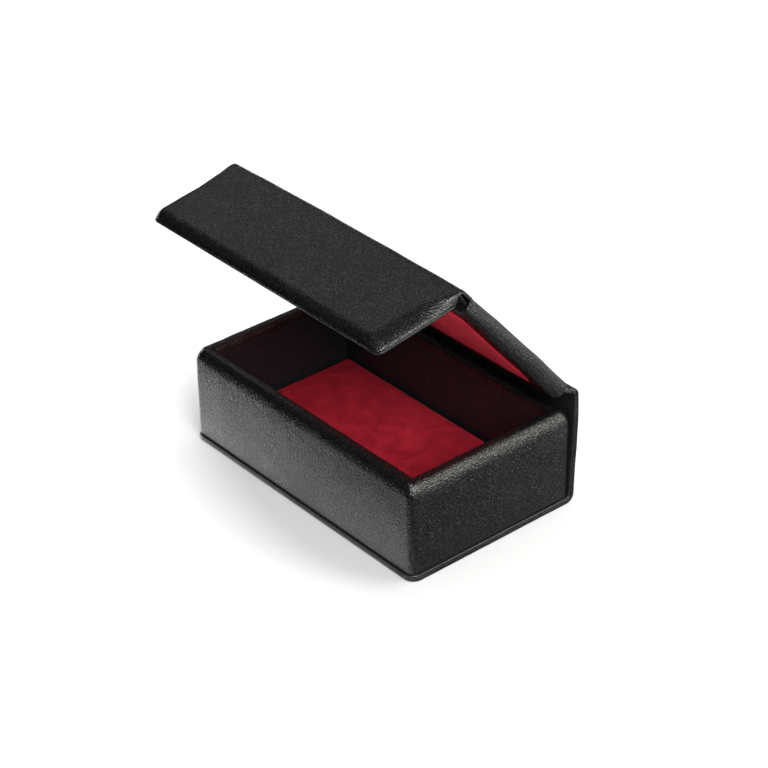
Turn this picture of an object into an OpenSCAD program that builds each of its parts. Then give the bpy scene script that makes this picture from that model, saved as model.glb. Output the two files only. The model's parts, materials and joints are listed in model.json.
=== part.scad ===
// Leather covered display box with a wrap-around cover: a padded lid that turns on a leather
// hinge and a padded front flap that folds down over the front wall.
// Origin: centre of the tray's plan on the table. X is the width, -Y the front, +Z up.

/* [Tray] */
// Outside width of the tray
tray_w = 110; // [90:1:160]
// Outside depth of the tray, front to back
tray_d = 67; // [55:1:100]
// Height of the tray's rim above the table
rim_z = 35.1; // [26:0.1:50]
// Thickness of a finished tray wall
wall_t = 5.4; // [5:0.1:8]
// Radius of the tray's upright outer corners
corner_r = 2.5; // [2.3:0.1:4]
// Rounding of the rim's outer edge
rim_r_out = 2.2; // [1.6:0.1:2.4]
// Rounding of the rim's inner edge
rim_r_in = 1.1; // [1:0.1:1.5]
// How far the rim leather is turned down inside
turn_in = 2.8; // [2:0.1:5]
// Height of the pad's top above the table
pad_z = 9.5; // [8:0.1:16]
// Gap between the pad and the walls
pad_gap = 0.5; // [0.3:0.1:1.5]

/* [Leather and board] */
// Thickness of the outer leather
leather_t = 0.9; // [0.7:0.1:1.1]
// Thickness of the leather that lines the walls
lining_t = 0.8; // [0.6:0.1:1]
// Thickness of the suede
suede_t = 0.6; // [0.5:0.1:0.9]
// Thickness of the tray's floor board
floor_t = 2; // [1.5:0.1:3]

/* [Cover strip] */
// Thickness of the strip under the tray and up its back
strip_t = 2.2; // [2:0.1:3]
// How far the strip stands out round the tray
strip_lip = 0.6; // [0.3:0.1:2]
// Corner radius of the strip, in plan
strip_corner_r = 4; // [2.5:0.5:8]
// Outer radius of the bend from the base to the spine
bend_r = 3; // [2.6:0.1:5]
// Gap between the tray's back and the spine
spine_gap = 0.25; // [0.1:0.05:1]

/* [Lid] */
// How far the lid stands open in the rest pose, in degrees
lid_open = 49.6; // [0:0.1:120]
// How far the lid and flap stand out past the tray at each side
lid_lip = 0.3; // [0:0.1:0.6]
// Thickness of the padded lid
lid_t = 5.9; // [5.5:0.1:8]
// Rounding of the lid's rolled edges
lid_r = 2.7; // [2.2:0.1:2.7]
// Gap between the closed lid and the rim
lid_gap = 0.3; // [0.2:0.05:0.6]
// Hinge axis to the spine's outer face
hinge_in = 2.4; // [2:0.1:3]
// Hinge axis to the lid's outer surface
hinge_drop = 1.8; // [1.2:0.1:2.4]
// Hinge axis to the back end of the lid's padded block
lid_start = 6.8; // [6:0.1:10]
// Width of the black frame round the red lining
lid_frame = 6; // [4:0.5:10]

/* [Flap] */
// How far the flap is folded from the lid's plane in the rest pose, in degrees
flap_fold = 58.6; // [0:0.1:90]
// Thickness of the flap's padded block
flap_t = 4.6; // [4.2:0.1:6]
// Thickness of the panel inside the flap
flap_panel_t = 1.2; // [0.8:0.1:1.4]
// Length of the flap from its fold axis to its free edge
flap_len = 32.7; // [24:0.1:40]
// Fold axis to the outer leather
fold_r = 2.6; // [2.2:0.1:3.2]
// Rounding of the flap's outer edges
flap_r = 3.2; // [2:0.1:3.4]
// Gap between the closed flap and the tray's front
flap_gap = 1.5; // [0.5:0.1:2]

/* [Magnets] */
// Diameter of a closure magnet
magnet_d = 8; // [5:0.5:10]
// Thickness of a closure magnet
magnet_t = 1; // [0.6:0.1:1]
// Distance between the two magnets
magnet_pitch = 60; // [30:1:80]
// Fold axis to the magnets in the flap
magnet_run = 24; // [16:0.5:24]

/* [Hidden] */
$fn = 64;

BLACK = [0.10, 0.10, 0.11];
SATIN = [0.06, 0.06, 0.07];
RED = [0.55, 0.06, 0.12];
BOARD = [0.62, 0.55, 0.45];
FOAM = [0.88, 0.87, 0.82];
STEEL = [0.72, 0.73, 0.75];

// Small gap between glued faces, so that no two pieces share volume
fit = 0.05;
// Extra length of a cutting solid past the face that it cuts
past = 1;
// How far the parts of one outline run into each other
overlap = 0.01;

// Tray
wall_board_t = wall_t - leather_t - lining_t - 2 * fit;
wall_in = leather_t + fit;
base_z = strip_t;
floor_z = base_z + fit;
floor_top = floor_z + floor_t;
cavity_w = tray_w - 2 * wall_t;
cavity_d = tray_d - 2 * wall_t;
lining_z = floor_top + fit;
lining_top = rim_z - turn_in - fit;

// Pad
pad_w = cavity_w - 2 * pad_gap;
pad_d = cavity_d - 2 * pad_gap;
pad_low = floor_top + fit;
pad_board_t = 1.5;
pad_edge_r = 1;

// Cover strip
spine_in_y = tray_d / 2 + spine_gap;
spine_out_y = spine_in_y + strip_t;
strip_w = tray_w + 2 * strip_lip;
strip_front_y = -tray_d / 2 - strip_lip;
strip_board_t = 0.6;
strip_board_in = 2.5;
bend_clear = 1;

// Lid hinge: the axis lies along X
lid_w = tray_w + 2 * lid_lip;
lid_top_z = rim_z + lid_gap + lid_t;
hinge_y = spine_out_y - hinge_in;
hinge_z = lid_top_z - hinge_drop;
hinge_strip_t = 0.9;
hinge_bulge = 0.8;
hinge_leather_in = 0.5;
hinge_leather_w = lid_w - 2 * hinge_leather_in;
hinge_strip_low = 1.2;
spine_top_z = hinge_z + bend_centre_z() - hinge_strip_low;

// Fold axis in the lid's frame, which is closed and has the hinge axis at its origin
flap_out_run = hinge_y + tray_d / 2 + flap_gap + flap_panel_t + flap_t;
fold_run = flap_out_run - fold_r;
fold_z = hinge_drop - fold_r;
flap_clear = 0.8;

// Lid, in the same frame
lid_end = fold_run + fold_r - flap_t - flap_clear;
lid_low = hinge_drop - lid_t;
lid_foam_t = 2.4;
window_in = 0.3;
window_w = min(lid_w - 2 * lid_frame, cavity_w - 2 * window_in);
window_from = lid_start + 0.6 * lid_frame;
window_to = min(hinge_y + tray_d / 2 - wall_t - window_in, lid_end - lid_frame);
window_proud = 0.2;
window_r = 1.5;

// Flap, in its own frame: unfolded, with the fold axis at its origin
flap_start = 1.5;
flap_low = fold_r - flap_t;
flap_lining_t = 1;
flap_board_t = 1.2;
flap_board_gap = 0.4;
flap_skin_t = 0.8;
flap_block_low = flap_low + flap_lining_t + fit;
flap_plan_r = 2;
panel_in = 4;
fold_strip_t = 0.9;

// Magnets meet when the flap hangs closed
magnet_z = hinge_z + fold_z - magnet_run;

// Places children that are drawn in the lid's own frame
module in_lid() {
  translate([0, hinge_y, hinge_z]) rotate([-lid_open, 0, 0]) children();
}

// Places children that are drawn in the flap's own frame
module in_flap() {
  in_lid() translate([0, -fold_run, fold_z]) rotate([flap_fold, 0, 0]) children();
}

// Rectangle centred on the origin with round corners
module round_rect(w, d, r) {
  square([w - 2 * r, d], center = true);
  square([w, d - 2 * r], center = true);
  for (x = [-1, 1], y = [-1, 1])
    translate([x * (w / 2 - r), y * (d / 2 - r)]) circle(r);
}

// Box from y0 back to y1 and z0 up to z1, centred in X
module slab(w, y0, y1, z0, z1) {
  translate([-w / 2, y0, z0]) cube([w, y1 - y0, z1 - z0]);
}

// Outline from x0 to x1 and y0 to y1, its upper corners rounded by r and its lower ones by low_r
module round_block(x0, x1, y0, y1, r, low_r) {
  for (x = [x0 + r, x1 - r]) translate([x, y1 - r]) circle(r);
  if (low_r > 0) for (x = [x0 + low_r, x1 - low_r]) translate([x, y0 + low_r]) circle(low_r);
  translate([x0 + low_r, y0]) square([x1 - x0 - 2 * low_r, y1 - y0 - r]);
  translate([x0, y0 + low_r]) square([x1 - x0, y1 - y0 - r - low_r]);
  translate([x0 + r, y0 + low_r]) square([x1 - x0 - 2 * r, y1 - y0 - low_r]);
}

// Padded block centred in X: upper edges rounded by r, lower ones by low_r, corners by plan_r
module soft_block(w, y0, y1, z0, z1, r, low_r, plan_r) {
  intersection() {
    along_x(w) round_block(y0, y1, z0, z1, r, low_r);
    translate([0, (y0 + y1) / 2, 0]) rotate([90, 0, 0]) linear_extrude(y1 - y0, center = true)
      round_block(-w / 2, w / 2, z0, z1, r, low_r);
    translate([0, (y0 + y1) / 2, z0]) linear_extrude(z1 - z0) round_rect(w, y1 - y0, plan_r);
  }
}

// Bent sheet seen from the side: base, quarter bend and upright, from inset a to inset b
module bent_sheet(a, b, top) {
  outer = bend_r - a;
  inner = bend_r - b;
  translate([strip_front_y, a]) square([spine_out_y - bend_r - strip_front_y, b - a]);
  translate([spine_out_y - b, bend_r]) square([b - a, top - bend_r]);
  translate([spine_out_y - bend_r, bend_r]) intersection() {
    difference() {
      circle(outer);
      circle(inner);
    }
    translate([0, -bend_r]) square([bend_r, bend_r]);
  }
}

// Stands a side outline up along X: the outline's x is Y and its y is Z
module along_x(w) {
  rotate([90, 0, 90]) linear_extrude(w, center = true) children();
}

// Plan outline of the strip: round corners at the front, square at the back
module strip_plan(inset) {
  w = strip_w - 2 * inset;
  y0 = strip_front_y + inset;
  r = strip_corner_r - inset;
  intersection() {
    translate([0, y0 + tray_d]) round_rect(w, 2 * tray_d, r);
    translate([-w / 2, y0]) square([w, spine_out_y + past - y0]);
  }
}

// Outer leather of the cover under the tray and up its back
module cover_leather() {
  color(BLACK) intersection() {
    along_x(strip_w) bent_sheet(0, leather_t, spine_top_z);
    linear_extrude(2 * rim_z) strip_plan(0);
  }
}

// Inner leather of the cover, with pockets for the two boards
module cover_lining() {
  color(SATIN) difference() {
    intersection() {
      along_x(strip_w) bent_sheet(leather_t + fit, strip_t, spine_top_z);
      linear_extrude(2 * rim_z) strip_plan(0);
    }
    base_board_block(fit);
    spine_board_block(fit);
  }
}

module base_board_block(grow) {
  translate([0, 0, leather_t + fit - grow])
    linear_extrude(strip_board_t + 2 * grow) intersection() {
      strip_plan(strip_board_in - grow);
      translate([-strip_w / 2, strip_front_y])
        square([strip_w, spine_out_y - bend_r - bend_clear + grow - strip_front_y]);
    }
}

module spine_board_block(grow) {
  slab(strip_w - 2 * strip_board_in + 2 * grow,
    spine_out_y - leather_t - fit - strip_board_t - grow, spine_out_y - leather_t - fit + grow,
    bend_r + bend_clear - grow, spine_top_z - strip_board_in + grow);
}

// Stiff board in the base
module base_board() {
  color(BOARD) base_board_block(0);
}

// Stiff board in the spine
module spine_board() {
  color(BOARD) spine_board_block(0);
}

// Trapezium in plan between the mitres at the two ends of a wall of length len, a little short
module mitre(len, depth) {
  translate([0, -fit])
    polygon([[-len / 2, 0], [len / 2, 0], [len / 2 - depth, depth], [-len / 2 + depth, depth]]);
}

// Places a wall that is drawn along X with its outer face at y = 0, inside at +Y
module at_wall(side) {
  turn = [0, 90, 180, 270][side];
  reach = side % 2 == 0 ? tray_d / 2 : tray_w / 2;
  rotate(turn) translate([0, -reach, 0]) children();
}

function wall_len(side) = side % 2 == 0 ? tray_w : tray_d;

// Outer shape of the tray from z0 up, shrunk by inset
module tray_block(inset, z0) {
  soft_block(tray_w - 2 * inset, -tray_d / 2 + inset, tray_d / 2 - inset, z0, rim_z - inset,
    rim_r_out - inset, 0, corner_r - inset);
}

// The tray's hollow, grown by grow, from z0 up to z1
module hollow(grow, z0, z1) {
  slab(cavity_w + 2 * grow, -cavity_d / 2 - grow, cavity_d / 2 + grow, z0, z1);
}

// Side outline of the mouth of a hollow of width w, flared by the rim's inner rounding
module mouth_outline(w) {
  difference() {
    translate([-w / 2 - rim_r_in, rim_z - rim_r_in]) square([w + 2 * rim_r_in, rim_r_in + past]);
    for (x = [-1, 1]) translate([x * (w / 2 + rim_r_in), rim_z - rim_r_in]) circle(rim_r_in);
  }
}

// Leather wrapped round the four walls, over the rim and a little way down inside
module tray_leather() {
  color(BLACK) difference() {
    tray_block(0, floor_z);
    hollow(0, base_z - past, rim_z);
    intersection() {
      along_x(2 * tray_w) mouth_outline(cavity_d);
      rotate(90) along_x(2 * tray_d) mouth_outline(cavity_w);
    }
    hollow(lining_t, base_z - past, rim_z - turn_in);
    difference() {
      tray_block(leather_t, base_z - past);
      hollow(lining_t, base_z - 2 * past, rim_z);
    }
  }
}

// Board of one wall, rounded under the rim leather and mitred at its ends
module wall_board(side) {
  color(BOARD) intersection() {
    difference() {
      tray_block(wall_in, floor_z);
      hollow(lining_t + fit, base_z, rim_z);
    }
    at_wall(side) linear_extrude(2 * rim_z) mitre(wall_len(side), 2 * wall_t);
  }
}

// Front wall, with shallow pockets for the magnets
module front_wall() {
  difference() {
    wall_board(0);
    magnet_pair(-tray_d / 2 + wall_in, magnet_t + 2 * fit, magnet_d / 2 + fit, past);
  }
}

module back_wall() {
  wall_board(2);
}

module left_wall() {
  wall_board(3);
}

module right_wall() {
  wall_board(1);
}

// Two discs in the front wall, from y back by depth, run out in front by proud
module magnet_pair(y, depth, r, proud) {
  for (x = [-1, 1])
    translate([x * magnet_pitch / 2, y - proud, magnet_z])
      rotate([-90, 0, 0]) cylinder(r = r, h = depth + proud);
}

// Magnets in the front wall
module tray_magnets() {
  color(STEEL) magnet_pair(-tray_d / 2 + wall_in + fit, magnet_t, magnet_d / 2, 0);
}

// Floor of the tray
module floor_board() {
  inset = wall_in + wall_board_t + fit;
  color(BOARD) slab(tray_w - 2 * inset, -tray_d / 2 + inset, tray_d / 2 - inset,
    floor_z, floor_top);
}

// Leather lining of one wall's inner face, mitred at its ends
module wall_lining(side) {
  color(SATIN) at_wall(side) intersection() {
    slab(wall_len(side), wall_t - lining_t, wall_t, lining_z, lining_top);
    linear_extrude(2 * rim_z) mitre(wall_len(side), 2 * wall_t);
  }
}

module front_lining() {
  wall_lining(0);
}

module back_lining() {
  wall_lining(2);
}

module left_lining() {
  wall_lining(3);
}

module right_lining() {
  wall_lining(1);
}

// Card under the pad
module pad_board() {
  inset = suede_t + fit;
  color(BOARD) translate([0, 0, pad_low]) linear_extrude(pad_board_t)
    round_rect(pad_w - 2 * inset, pad_d - 2 * inset, pad_edge_r - suede_t);
}

// The pad's outer shape above z0, shrunk by inset
module pad_block(inset, z0) {
  soft_block(pad_w - 2 * inset, -pad_d / 2 + inset, pad_d / 2 - inset, z0, pad_z - inset,
    pad_edge_r - inset, 0, pad_edge_r - inset);
}

// Foam of the pad
module pad_foam() {
  color(FOAM) pad_block(suede_t + fit, pad_low + pad_board_t + fit);
}

// Red suede over the pad's top and down its sides
module pad_suede() {
  color(RED) difference() {
    pad_block(0, pad_low);
    pad_block(suede_t, pad_low - past);
  }
}

// Side outline of the bent hinge strip between two depths below its outer surface
module hinge_outline(a, b) {
  turn = 90 - lid_open;
  run = lid_start - fit;
  far = 3 * hinge_in;
  translate([hinge_in - b, spine_top_z - hinge_z + fit])
    square([b - a, hinge_strip_low - fit + overlap]);
  translate([0, bend_centre_z()]) intersection() {
    difference() {
      circle(hinge_in - a);
      circle(hinge_in - b);
    }
    polygon([[0, 0], [far, 0], [far, far * tan(turn / 2)], [far * cos(turn), far * sin(turn)]]);
  }
  translate([0, bend_centre_z()]) rotate(turn)
    translate([hinge_in - b, -overlap]) square([b - a, run - bend_run()]);
}

// Height of the bend's centre above the hinge axis, which lets the leather bulge a little
function bend_centre_z() =
  max(2 * overlap, (hinge_drop + hinge_bulge - hinge_in) / cos(lid_open));

// Length of the lid that the bend itself takes up
function bend_run() = bend_centre_z() * sin(lid_open);

// Outer leather of the lid's hinge
module lid_hinge_leather() {
  color(BLACK) translate([0, hinge_y, hinge_z])
    along_x(hinge_leather_w) hinge_outline(0, hinge_strip_t);
}

// Inner leather of the lid's hinge
module lid_hinge_lining() {
  color(SATIN) translate([0, hinge_y, hinge_z])
    along_x(hinge_leather_w) hinge_outline(hinge_strip_t + fit, 2 * hinge_strip_t);
}

// The lid's block in its own frame, shrunk by inset on every side and square at the fold
module lid_block(inset) {
  r = lid_r - inset;
  intersection() {
    soft_block(lid_w - 2 * inset, -lid_end - 2 * lid_r, -lid_start - inset,
      lid_low + inset, hinge_drop - inset, r, r, r);
    slab(lid_w + past, -lid_end + inset, 0, lid_low - past, hinge_drop + past);
  }
}

// Window in the inner leather that the red lining fills
module window(grow, z0, z1) {
  translate([0, 0, z0]) linear_extrude(z1 - z0)
    translate([0, -(window_from + window_to) / 2])
      round_rect(window_w + 2 * grow, window_to - window_from + 2 * grow, window_r + grow);
}

// Leather round the lid's block, turned in to make the black frame inside
module lid_leather() {
  color(BLACK) in_lid() difference() {
    lid_block(0);
    lid_block(leather_t);
    window(fit, lid_low - past, lid_low + leather_t + past);
  }
}

// Foam under the lid's outer leather
module lid_foam() {
  color(FOAM) in_lid() intersection() {
    lid_block(leather_t + fit);
    slab(lid_w, -lid_end, 0, hinge_drop - leather_t - fit - lid_foam_t, hinge_drop);
  }
}

// Board of the lid
module lid_board() {
  color(BOARD) in_lid() intersection() {
    lid_block(leather_t + fit);
    slab(lid_w, -lid_end, 0, lid_low, hinge_drop - leather_t - 2 * fit - lid_foam_t);
  }
}

// Card behind the red lining
module lid_lining_card() {
  color(BOARD) in_lid()
    window(-suede_t - fit, lid_low - window_proud + suede_t + fit, lid_low + leather_t);
}

// Red suede of the lid, over its card
module lid_lining_suede() {
  color(RED) in_lid() difference() {
    window(0, lid_low - window_proud, lid_low + leather_t);
    window(-suede_t, lid_low - window_proud + suede_t, lid_low + leather_t + past);
  }
}

// Side outline of the fold's leather about the fold axis, between two radii
module fold_outline(r0, r1) {
  far = 3 * fold_r;
  intersection() {
    difference() {
      circle(r1);
      circle(r0);
    }
    polygon([[0, 0], [0, far], [-far * tan(flap_fold / 2), far],
      [-far * sin(flap_fold), far * cos(flap_fold)]]);
  }
  translate([0, r0]) square([fold_run - lid_end - fit, r1 - r0]);
  rotate(flap_fold) translate([-flap_start + fit, r0]) square([flap_start - fit, r1 - r0]);
}

// Outer leather of the fold between the lid and the flap
module flap_hinge_leather() {
  color(BLACK) in_lid() translate([0, -fold_run, fold_z])
    along_x(hinge_leather_w) fold_outline(fold_r - fold_strip_t, fold_r);
}

// Inner leather of the fold
module flap_hinge_lining() {
  color(SATIN) in_lid() translate([0, -fold_run, fold_z])
    along_x(hinge_leather_w)
      fold_outline(fold_r - 2 * fold_strip_t, fold_r - fold_strip_t - fit);
}

// The flap's cushion in its own frame, shrunk by inset and square at the fold
module flap_cushion(inset, z0) {
  intersection() {
    soft_block(lid_w - 2 * inset, -flap_len + inset, 3 * flap_r, z0, fold_r - inset,
      flap_r - inset, 0, flap_r - inset);
    slab(lid_w + past, -flap_len - past, -flap_start - inset, z0 - past, fold_r + past);
  }
}

// Padded outer leather of the flap
module flap_leather() {
  color(BLACK) in_flap() difference() {
    flap_cushion(0, flap_block_low);
    flap_cushion(flap_skin_t, flap_block_low - past);
  }
}

// Foam under the flap's outer leather
module flap_foam() {
  color(FOAM) in_flap()
    flap_cushion(flap_skin_t + fit, flap_block_low + flap_board_t + fit);
}

// Board of the flap, with pockets for the magnets
module flap_board() {
  inset = flap_skin_t + flap_board_gap;
  color(BOARD) in_flap() difference() {
    translate([0, -(flap_start + flap_len) / 2, flap_block_low]) linear_extrude(flap_board_t)
      round_rect(lid_w - 2 * inset, flap_len - flap_start - 2 * inset, flap_r - flap_skin_t);
    for (x = [-1, 1])
      translate([x * magnet_pitch / 2, -magnet_run, flap_block_low - past])
        cylinder(r = magnet_d / 2 + fit, h = magnet_t + fit + past);
  }
}

// Inner leather of the flap, with the thin edge that shows below the padding
module flap_lining() {
  color(SATIN) in_flap() translate([0, 0, flap_low]) linear_extrude(flap_lining_t)
    intersection() {
      translate([0, -flap_len / 2 + flap_plan_r]) round_rect(lid_w, flap_len + 2 * flap_plan_r,
        flap_plan_r);
      translate([-lid_w / 2, -flap_len - past]) square([lid_w, flap_len + past - flap_start]);
    }
}

// Raised panel on the inside of the flap
module flap_inner_panel() {
  color(SATIN) in_flap() translate([0, -(flap_start + flap_len) / 2, flap_low - flap_panel_t])
    linear_extrude(flap_panel_t - fit)
      round_rect(lid_w - 2 * panel_in, flap_len - flap_start - 2 * panel_in, flap_plan_r);
}

// Magnets in the flap
module flap_magnets() {
  color(STEEL) in_flap() for (x = [-1, 1])
    translate([x * magnet_pitch / 2, -magnet_run, flap_block_low]) cylinder(d = magnet_d, h = magnet_t);
}

cover_leather();
cover_lining();
base_board();
spine_board();
tray_leather();
front_wall();
back_wall();
left_wall();
right_wall();
floor_board();
front_lining();
back_lining();
left_lining();
right_lining();
pad_board();
pad_foam();
pad_suede();
tray_magnets();
lid_hinge_leather();
lid_hinge_lining();
lid_leather();
lid_foam();
lid_board();
lid_lining_card();
lid_lining_suede();
flap_hinge_leather();
flap_hinge_lining();
flap_leather();
flap_foam();
flap_board();
flap_lining();
flap_inner_panel();
flap_magnets();
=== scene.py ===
import json
import math

import bmesh
import bpy
import numpy as np
from mathutils import Matrix, Vector, noise


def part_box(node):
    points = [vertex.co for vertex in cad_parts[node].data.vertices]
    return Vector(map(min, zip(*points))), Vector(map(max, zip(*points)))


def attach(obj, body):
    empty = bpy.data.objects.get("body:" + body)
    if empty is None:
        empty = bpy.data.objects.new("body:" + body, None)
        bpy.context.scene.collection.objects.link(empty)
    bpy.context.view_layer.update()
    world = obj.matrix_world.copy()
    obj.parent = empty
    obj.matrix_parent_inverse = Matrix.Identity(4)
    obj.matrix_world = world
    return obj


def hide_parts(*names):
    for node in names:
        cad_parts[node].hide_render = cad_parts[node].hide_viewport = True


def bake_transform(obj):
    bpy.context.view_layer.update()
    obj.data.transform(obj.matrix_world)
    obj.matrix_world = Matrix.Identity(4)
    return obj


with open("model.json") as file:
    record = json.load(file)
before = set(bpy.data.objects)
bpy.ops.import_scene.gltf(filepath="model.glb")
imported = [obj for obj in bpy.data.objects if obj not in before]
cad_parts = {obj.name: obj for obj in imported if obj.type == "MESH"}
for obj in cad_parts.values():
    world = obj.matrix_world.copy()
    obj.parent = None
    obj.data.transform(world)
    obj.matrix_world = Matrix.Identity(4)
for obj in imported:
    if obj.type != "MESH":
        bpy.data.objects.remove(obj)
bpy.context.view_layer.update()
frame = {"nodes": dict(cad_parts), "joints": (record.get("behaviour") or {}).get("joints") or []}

# The view: the box stands half open on a white table and is seen from its front right corner,
# from above, through a long lens. The angles and the distance were fitted to the photo.
VIEW_TURN = 50.11
VIEW_DOWN = 32.09
VIEW_ROLL = -0.85
VIEW_DISTANCE = 0.824
VIEW_AIM = (-0.01205, 0.01253, 0.022)
LENS = 116.64

turn = math.radians(VIEW_TURN)
down = math.radians(VIEW_DOWN)
roll = math.radians(VIEW_ROLL)
back = Vector((math.sin(turn) * math.cos(down), -math.cos(turn) * math.cos(down), math.sin(down)))
right = Vector((math.cos(turn), math.sin(turn), 0))
up = back.cross(right)
camera_data = bpy.data.cameras.new("camera")
camera_data.lens = LENS
camera = bpy.data.objects.new("camera", camera_data)
bpy.context.scene.collection.objects.link(camera)
axes = Matrix((
    right * math.cos(roll) + up * math.sin(roll),
    up * math.cos(roll) - right * math.sin(roll),
    back,
)).transposed()
camera.matrix_world = Matrix.Translation(Vector(VIEW_AIM) + back * VIEW_DISTANCE) @ axes.to_4x4()
bpy.context.scene.camera = camera


# Outer leather of the cover: one piece of fine pebbled black cowhide, 0.9 mm thick. It lies
# under the tray, bends up its back and goes on over the hinge to the lid, where it is glued.
# Lengths are in millimetres, and MM turns them into metres.
MM = 0.001
LEATHER = 0.9
TURNED_EDGE = 1.6
EDGE_WAVE = 0.05
GLUE = 0.04
GRAIN = 0.6
TOP_SHINE = 1.2
VALLEY_SHINE = 0.6
TOP_POLISH = 0.14
WEAR = 0.22
WEAR_SIZE = 11
NEARBY = 0.05
EDGE_STEPS = 7
DEEPEST = 0.85
LOW_DEEPEST = 0.4

lid_joint = next(j for j in frame["joints"] if j["name"] == "lid_hinge")
LID_OPEN = -lid_joint["range_deg"][0]
HINGE = (lid_joint["pos_m"][1] / MM, lid_joint["pos_m"][2] / MM)


def node_box(name):
    """Lowest and highest corner of a CAD node, in millimetres."""
    low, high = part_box(name)
    return np.array(low) / MM, np.array(high) / MM


def turned(points, pivot, degrees):
    """(y, z) points drawn about pivot, turned about X by degrees and put in place."""
    c = math.cos(math.radians(degrees))
    s = math.sin(math.radians(degrees))
    p = np.asarray(points, float)
    return np.stack([pivot[0] + p[:, 0] * c - p[:, 1] * s, pivot[1] + p[:, 0] * s + p[:, 1] * c], 1)


def arc(centre, radius, start, end, count=16):
    """(y, z) points on an arc, from the angle start to the angle end in degrees."""
    a = np.radians(np.linspace(start, end, count))
    return np.stack([centre[0] + radius * np.cos(a), centre[1] + radius * np.sin(a)], 1)


def eased(points, rounds=3):
    """The line with its corners cut several times, which makes it smooth."""
    p = np.asarray(points, float)
    for _ in range(rounds):
        near = p[:-1] * 0.75 + p[1:] * 0.25
        far = p[:-1] * 0.25 + p[1:] * 0.75
        p = np.concatenate([p[:1], np.stack([near, far], 1).reshape(-1, 2), p[-1:]])
    return p


def steps(length, edge, step):
    """Places from 0 to length, close together within edge of both ends."""
    fine = edge * (1 - np.cos(np.linspace(0, math.pi / 2, EDGE_STEPS)[:-1]))
    count = max(2, round((length - 2 * edge) / step))
    middle = np.linspace(edge, length - edge, count + 1)
    return np.concatenate([fine, middle, (length - fine)[::-1]])


def along(value, places):
    """value at each place: a number, or a list of (place, number) to read between."""
    if np.isscalar(value):
        return np.full(len(places), float(value))
    known = np.array(value, float)
    return np.interp(places, known[:, 0], known[:, 1])


def finished(name, points, faces, material):
    """A smooth mesh object from points in millimetres, which also keep their rest place for the grain."""
    mesh = bpy.data.meshes.new(name)
    mesh.from_pydata((np.asarray(points, float) * MM).tolist(), [], faces)
    bm = bmesh.new()
    bm.from_mesh(mesh)
    bmesh.ops.recalc_face_normals(bm, faces=bm.faces)
    bm.to_mesh(mesh)
    bm.free()
    rest = mesh.attributes.new("rest_place", "FLOAT_VECTOR", "POINT")
    rest.data.foreach_set("vector", np.asarray(points, np.float32).ravel())
    mesh.materials.append(material)
    mesh.shade_smooth()
    piece = bpy.data.objects.new(name, mesh)
    bpy.context.scene.collection.objects.link(piece)
    return piece


def wave(points, size, seed):
    """Smooth unevenness between -1 and 1 at each point, with bumps about size millimetres wide."""
    shift = Vector((seed * 7.3, seed * 3.1, seed * 5.7))
    return np.array([noise.noise(Vector(p) / size + shift) for p in points]) * 1.6


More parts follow.
